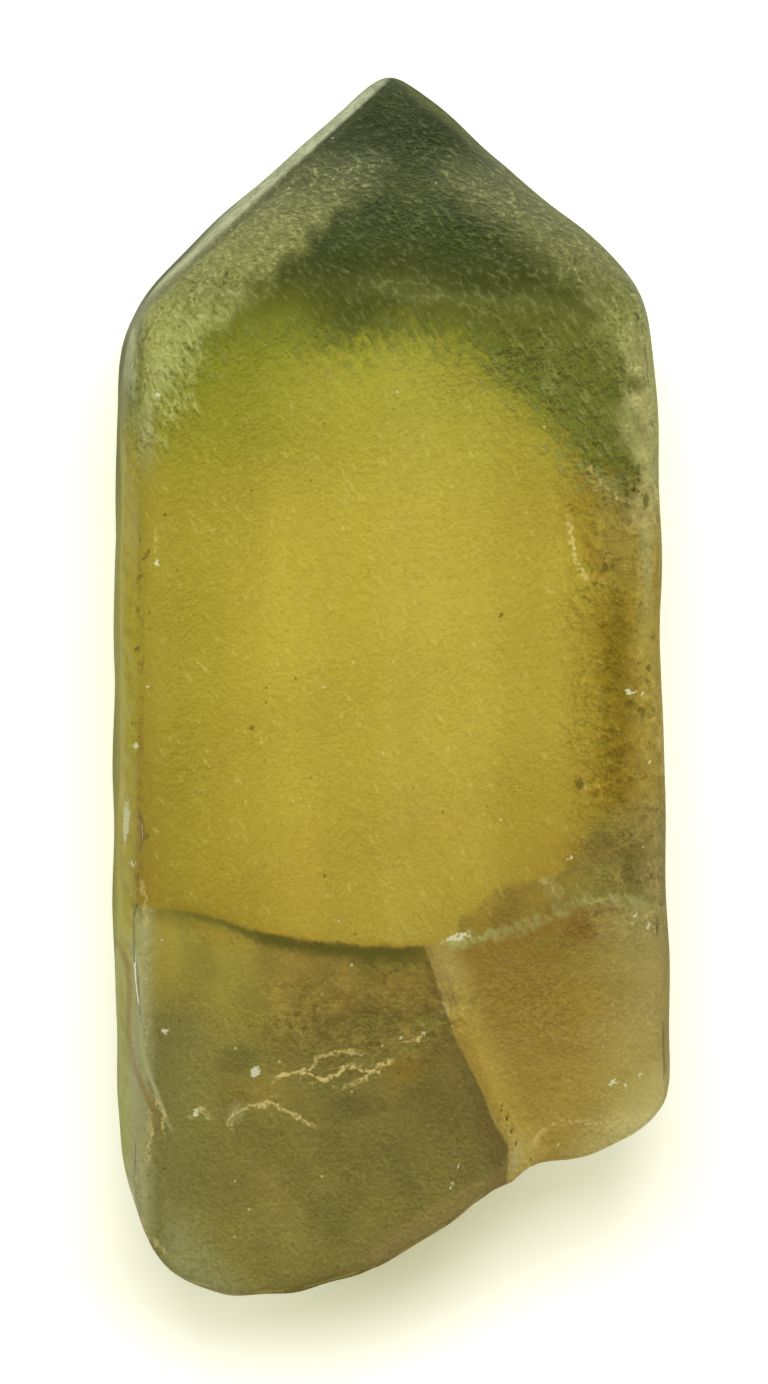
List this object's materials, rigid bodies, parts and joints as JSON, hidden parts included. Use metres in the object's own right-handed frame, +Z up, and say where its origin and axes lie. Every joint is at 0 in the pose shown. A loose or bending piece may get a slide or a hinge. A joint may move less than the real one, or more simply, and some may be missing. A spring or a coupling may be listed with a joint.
{
  "type": "zircon crystal",
  "caption": "Waterworn olive-green zircon crystal, a long square prism with a pyramid at one end and a broken base, lying on a prism face.",
  "frame": {"origin": "under the middle of the box round the crystal, on the surface that it lies on", "axes": "+Y along the crystal's long axis towards the pyramid, +Z up, out of the clearer prism face, +X to the right seen from above with the pyramid ahead"},
  "size_m": [0.0111, 0.0246, 0.0103],
  "materials": {
    "zircon": "frosted by wear, see-through olive yellow with a dark green tip"
  },
  "bodies": {
    "root": {"crystal": "zircon"}
  },
  "joints": []
}
